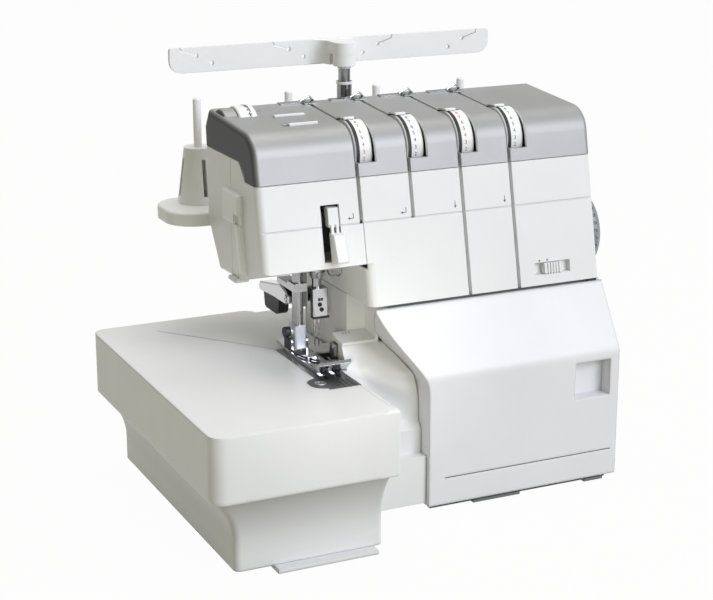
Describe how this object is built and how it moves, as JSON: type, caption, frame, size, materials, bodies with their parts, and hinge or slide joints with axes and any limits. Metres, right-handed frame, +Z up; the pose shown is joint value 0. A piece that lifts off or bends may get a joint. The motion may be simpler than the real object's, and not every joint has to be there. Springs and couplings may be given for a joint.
{
  "type": "overlock sewing machine",
  "caption": "Household overlock sewing machine with needles, loopers, knives, tension dials, a spool stand on its back and a slide-off extension table.",
  "frame": {"origin": "middle of the bounding box, on the floor", "axes": "+X to the operator's right, +Y towards the spool stand, +Z up"},
  "size_m": [0.352, 0.254, 0.3152],
  "materials": {
    "white_shell": "satin moulded",
    "grey_shell": "fine textured",
    "dial_white": "satin moulded",
    "light_grey": "fine textured",
    "dark_plastic": "fine textured",
    "steel": "ground",
    "chrome": "polished",
    "casting": "die cast",
    "rubber": "moulded",
    "motor_paint": "black enamel"
  },
  "bodies": {
    "machine": {"face_cover": "white_shell", "front_cover": "white_shell", "rear_cover": "white_shell", "top_cover": "grey_shell", "tension_bracket": "steel", "tension_discs": "chrome", "thread_guides": "chrome", "thread_cutter": "white_shell", "base_tray": "light_grey", "rubber_feet": "rubber", "side_cover": "white_shell", "looper_bulkhead": "light_grey", "bed_housing": "white_shell", "cloth_guide": "white_shell", "needle_plate": "chrome", "lower_knife": "steel", "bed_casting": "casting", "bar_bushings": "steel", "pressure_spring": "steel", "frame_casting": "casting", "motor": "motor_paint", "drive_belt": "rubber", "power_inlet": "dark_plastic", "spool_stand": "white_shell", "cone_holders": "white_shell", "spool_pins": "white_shell", "mast_base": "chrome"},
    "handwheel": {"handwheel": "grey_shell", "main_shaft": "steel", "shaft_pulley": "dark_plastic"},
    "motor_rotor": {"motor_pulley": "steel"},
    "needle_bar": {"needle_bar": "chrome", "needle_clamp": "chrome", "needles": "chrome"},
    "needle_rocker": {"needle_rocker": "casting"},
    "presser": {"presser_bar": "chrome", "presser_collar": "steel", "foot_holder": "chrome"},
    "presser_foot": {"presser_foot": "chrome"},
    "lifter": {"lifter_lever": "chrome", "lifter_grip": "dark_plastic"},
    "upper_looper": {"upper_looper": "chrome"},
    "lower_looper": {"lower_looper": "chrome"},
    "upper_knife": {"upper_knife": "steel"},
    "feed_main": {"feed_dog_main": "steel"},
    "feed_diff": {"feed_dog_diff": "steel"},
    "tension_dial_1": {"tension_dial_1": "dial_white"},
    "tension_dial_2": {"tension_dial_2": "dial_white"},
    "tension_dial_3": {"tension_dial_3": "dial_white"},
    "tension_dial_4": {"tension_dial_4": "dial_white"},
    "pressure_dial": {"pressure_dial": "dial_white"},
    "looper_cover": {"looper_cover": "white_shell"},
    "threader": {"threader_lever": "dial_white"},
    "slider": {"tightness_slider": "light_grey"},
    "mast": {"mast_top": "chrome"},
    "guide_bar": {"guide_bar": "white_shell"},
    "table": {"extension_table": "white_shell"},
    "stitch_dial": {"stitch_length_dial": "light_grey"},
    "feed_dial": {"differential_dial": "light_grey"},
    "switch": {"power_switch": "dark_plastic"}
  },
  "joints": [
    {"name": "handwheel_spin", "type": "hinge", "parent": "machine", "child": "handwheel", "pos_m": [0.16, 0.008, 0.174], "axis": [1, 0, 0], "continuous": true},
    {"name": "motor_spin", "type": "hinge", "parent": "machine", "child": "motor_rotor", "pos_m": [0.13, 0.008, 0.074], "axis": [1, 0, 0], "continuous": true},
    {"name": "needle_stroke", "type": "slide", "parent": "machine", "child": "needle_bar", "axis": [0, 0, 1], "range_m": [-0.021, 0.006]},
    {"name": "rocker_swing", "type": "hinge", "parent": "machine", "child": "needle_rocker", "pos_m": [-0.036, 0.042, 0.208], "axis": [-1, 0, 0], "range_deg": [-33, 10]},
    {"name": "lifter_raise", "type": "hinge", "parent": "machine", "child": "lifter", "pos_m": [-0.0575, 0.021, 0.144], "axis": [1, 0, 0], "range_deg": [0, 22]},
    {"name": "presser_lift", "type": "slide", "parent": "machine", "child": "presser", "axis": [0, 0, 1], "range_m": [0, 0.006], "deforming": ["pressure_spring"]},
    {"name": "foot_tilt", "type": "hinge", "parent": "presser", "child": "presser_foot", "pos_m": [-0.0575, 0.0125, 0.1135], "axis": [-1, 0, 0], "range_deg": [0, 6]},
    {"name": "upper_looper_swing", "type": "hinge", "parent": "machine", "child": "upper_looper", "pos_m": [-0.066, 0.004, 0.071], "axis": [0, -1, 0], "range_deg": [0, 28]},
    {"name": "lower_looper_swing", "type": "hinge", "parent": "machine", "child": "lower_looper", "pos_m": [-0.039, 0.009, 0.05], "axis": [0, 1, 0], "range_deg": [0, 18]},
    {"name": "knife_stroke", "type": "slide", "parent": "machine", "child": "upper_knife", "axis": [0, 0, 1], "range_m": [-0.006, 0]},
    {"name": "main_feed", "type": "slide", "parent": "machine", "child": "feed_main", "axis": [0, 1, 0], "range_m": [-0.0015, 0.0015]},
    {"name": "diff_feed", "type": "slide", "parent": "machine", "child": "feed_diff", "axis": [0, 1, 0], "range_m": [-0.002, 0.002]},
    {"name": "tension_turn_1", "type": "hinge", "parent": "machine", "child": "tension_dial_1", "pos_m": [-0.0195, 0.003, 0.252], "axis": [1, 0, 0], "range_deg": [-150, 150]},
    {"name": "tension_turn_2", "type": "hinge", "parent": "machine", "child": "tension_dial_2", "pos_m": [0.0205, 0.003, 0.252], "axis": [1, 0, 0], "range_deg": [-150, 150]},
    {"name": "tension_turn_3", "type": "hinge", "parent": "machine", "child": "tension_dial_3", "pos_m": [0.0605, 0.003, 0.252], "axis": [1, 0, 0], "range_deg": [-150, 150]},
    {"name": "tension_turn_4", "type": "hinge", "parent": "machine", "child": "tension_dial_4", "pos_m": [0.1005, 0.003, 0.252], "axis": [1, 0, 0], "range_deg": [-150, 150]},
    {"name": "pressure_turn", "type": "hinge", "parent": "machine", "child": "pressure_dial", "pos_m": [-0.083, 0.048, 0.264], "axis": [1, 0, 0], "range_deg": [-150, 150]},
    {"name": "cover_hinge", "type": "hinge", "parent": "machine", "child": "looper_cover", "pos_m": [0.083, -0.0665, 0.011], "axis": [1, 0, 0], "range_deg": [0, 88]},
    {"name": "threader_press", "type": "slide", "parent": "machine", "child": "threader", "axis": [0, -0.2079, -0.9781], "range_m": [0, 0.018], "stiffness_N_per_m": 40, "springref_m": -0.004},
    {"name": "tightness_shift", "type": "slide", "parent": "machine", "child": "slider", "axis": [1, 0, 0], "range_m": [-0.0065, 0.0065]},
    {"name": "mast_slide", "type": "slide", "parent": "machine", "child": "mast", "axis": [0, 0, 1], "range_m": [0, 0.06]},
    {"name": "guide_swivel", "type": "hinge", "parent": "mast", "child": "guide_bar", "pos_m": [0.014, 0.0865, 0.3], "axis": [0, 0, 1], "range_deg": [-90, 90]},
    {"name": "table_slide", "type": "slide", "parent": "machine", "child": "table", "axis": [-1, 0, 0], "range_m": [0, 0.13]},
    {"name": "stitch_turn", "type": "hinge", "parent": "machine", "child": "stitch_dial", "pos_m": [0.165, -0.012, 0.096], "axis": [1, 0, 0], "range_deg": [-140, 140]},
    {"name": "feed_turn", "type": "hinge", "parent": "machine", "child": "feed_dial", "pos_m": [0.165, 0.034, 0.096], "axis": [1, 0, 0], "range_deg": [-140, 140]},
    {"name": "switch_rock", "type": "hinge", "parent": "machine", "child": "switch", "pos_m": [0.158, -0.006, 0.04], "axis": [0, 1, 0], "range_deg": [-8, 8]}
  ],
  "couplings": [
    {"joint": "motor_spin", "follows": "handwheel_spin", "ratio": 3},
    {"joint": "rocker_swing", "follows": "needle_stroke", "rad_per_m": 26.9},
    {"joint": "presser_lift", "follows": "lifter_raise", "m_per_rad": 0.0156}
  ]
}
